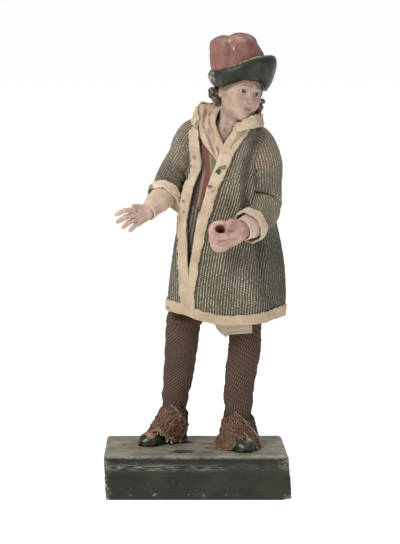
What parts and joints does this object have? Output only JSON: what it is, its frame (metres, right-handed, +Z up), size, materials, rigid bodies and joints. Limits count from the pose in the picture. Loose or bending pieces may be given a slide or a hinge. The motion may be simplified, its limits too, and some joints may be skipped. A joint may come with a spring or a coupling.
{
  "type": "nativity figure",
  "caption": "Dressed crib figure of a standing shepherd in a turned-up cap and knee-length coat, one hand open and one closed round a grip hole, on a painted wooden block.",
  "frame": {"origin": "on the underside of the block, below the block's middle", "axes": "+Z up, -Y the way the figure faces, +X to the viewer's right"},
  "size_m": [0.171, 0.1122, 0.4207],
  "materials": {
    "base_paint": "satin dark green paint, rubbed and scuffed",
    "shoe_paint": "satin dark green paint, chipped to pinkish wood",
    "foot_cover_cloth": "matt, frayed twill",
    "legging_cloth": "matt brown twill",
    "linen": "matt plain weave",
    "waistcoat_cloth": "matt, striped",
    "coat_cloth": "matt, ribbed with cream dashes",
    "felt": "matt felt, stained",
    "painted_skin": "satin oil paint over gesso, dirty",
    "painted_head": "satin oil paint over gesso, with a red and dark green cap"
  },
  "bodies": {
    "root": {"base": "base_paint", "shoe_right": "shoe_paint", "shoe_left": "shoe_paint", "foot_cover_right": "foot_cover_cloth", "foot_cover_left": "foot_cover_cloth", "legging_right": "legging_cloth", "legging_left": "legging_cloth", "shirt": "linen", "waistcoat": "waistcoat_cloth", "coat": "coat_cloth", "hem_band": "felt", "front_band_right": "felt", "front_band_left": "felt", "collar": "felt", "cuff_right": "felt", "cuff_left": "felt", "hand_right": "painted_skin", "hand_left": "painted_skin", "head": "painted_head"}
  },
  "joints": []
}
